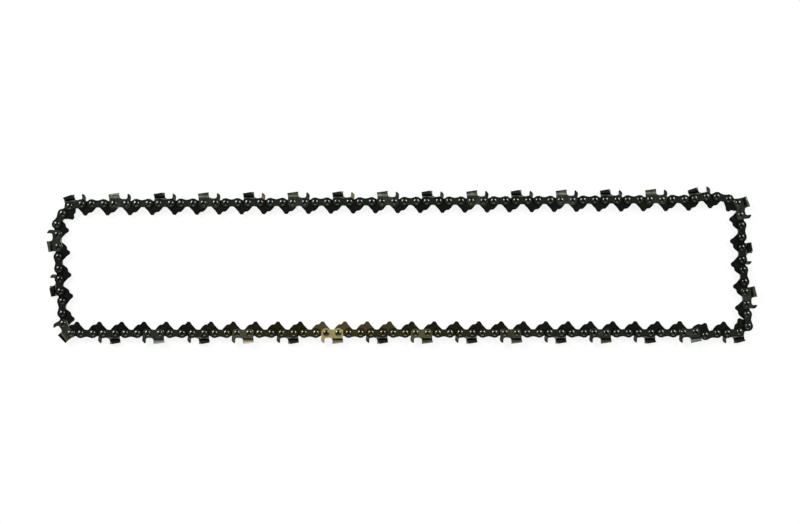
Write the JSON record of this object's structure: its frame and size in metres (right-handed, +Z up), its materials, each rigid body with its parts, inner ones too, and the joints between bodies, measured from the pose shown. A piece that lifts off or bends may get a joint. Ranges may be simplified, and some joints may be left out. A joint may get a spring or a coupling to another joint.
{
  "type": "saw chain loop",
  "caption": "Closed loop of saw chain: hooked drive links, tie straps and alternating left and right cutters on rivets, lying flat.",
  "frame": {"origin": "middle of the loop, on the surface that it lies on", "axes": "+X along the long rows, +Z up along the rivets"},
  "size_m": [0.6058, 0.1348, 0.0072],
  "materials": {
    "blued_steel": "blued and oiled, glossy",
    "plated_cutter": "hard-plated, smooth",
    "gold_cutter": "gold-tinted plating, smooth",
    "rivet_steel": "blued, glossy domed heads"
  },
  "bodies": {
    "bottom_run": {"bottom_run_tie_straps": "blued_steel", "bottom_run_rivets": "rivet_steel", "bottom_run_drive_links": "blued_steel", "left_cutter_09": "plated_cutter", "right_cutter_10": "plated_cutter", "left_cutter_10": "plated_cutter", "right_cutter_11": "plated_cutter", "left_cutter_11": "plated_cutter", "right_cutter_12": "plated_cutter", "left_cutter_12": "plated_cutter", "right_cutter_13": "plated_cutter", "left_cutter_13": "plated_cutter", "right_cutter_14": "gold_cutter", "left_cutter_14": "plated_cutter", "right_cutter_15": "plated_cutter", "left_cutter_15": "plated_cutter", "right_cutter_16": "plated_cutter", "left_cutter_16": "plated_cutter", "right_cutter_17": "plated_cutter"},
    "left_run": {"left_run_tie_straps": "blued_steel", "left_run_rivets": "rivet_steel", "left_run_drive_links": "blued_steel", "left_cutter_17": "plated_cutter", "right_cutter_18": "plated_cutter"},
    "top_run": {"top_run_drive_links": "blued_steel", "top_run_tie_straps": "blued_steel", "top_run_rivets": "rivet_steel", "right_cutter_01": "plated_cutter", "left_cutter_01": "plated_cutter", "right_cutter_02": "plated_cutter", "left_cutter_02": "plated_cutter", "right_cutter_03": "plated_cutter", "left_cutter_03": "plated_cutter", "right_cutter_04": "plated_cutter", "left_cutter_04": "plated_cutter", "right_cutter_05": "plated_cutter", "left_cutter_05": "plated_cutter", "right_cutter_06": "plated_cutter", "left_cutter_06": "plated_cutter", "right_cutter_07": "plated_cutter", "left_cutter_07": "plated_cutter", "right_cutter_08": "plated_cutter", "left_cutter_18": "plated_cutter"},
    "right_run": {"right_run_tie_straps": "blued_steel", "right_run_rivets": "rivet_steel", "right_run_drive_links": "blued_steel", "left_cutter_08": "plated_cutter", "right_cutter_09": "plated_cutter"}
  },
  "joints": [
    {"name": "left_fold", "type": "hinge", "parent": "bottom_run", "child": "left_run", "pos_m": [-0.28974, -0.04109, 0.0036], "axis": [0, 0, 1], "range_deg": [-25, 15]},
    {"name": "top_fold", "type": "hinge", "parent": "left_run", "child": "top_run", "pos_m": [-0.29441, 0.0349, 0.0036], "axis": [0, 0, 1], "range_deg": [-15, 25]},
    {"name": "right_fold", "type": "hinge", "parent": "top_run", "child": "right_run", "pos_m": [0.28957, 0.03408, 0.0036], "axis": [0, 0, 1], "range_deg": [-25, 15]}
  ],
  "couplings": [
    {"joint": "top_fold", "follows": "left_fold", "ratio": -1},
    {"joint": "right_fold", "follows": "left_fold", "ratio": 1}
  ]
}
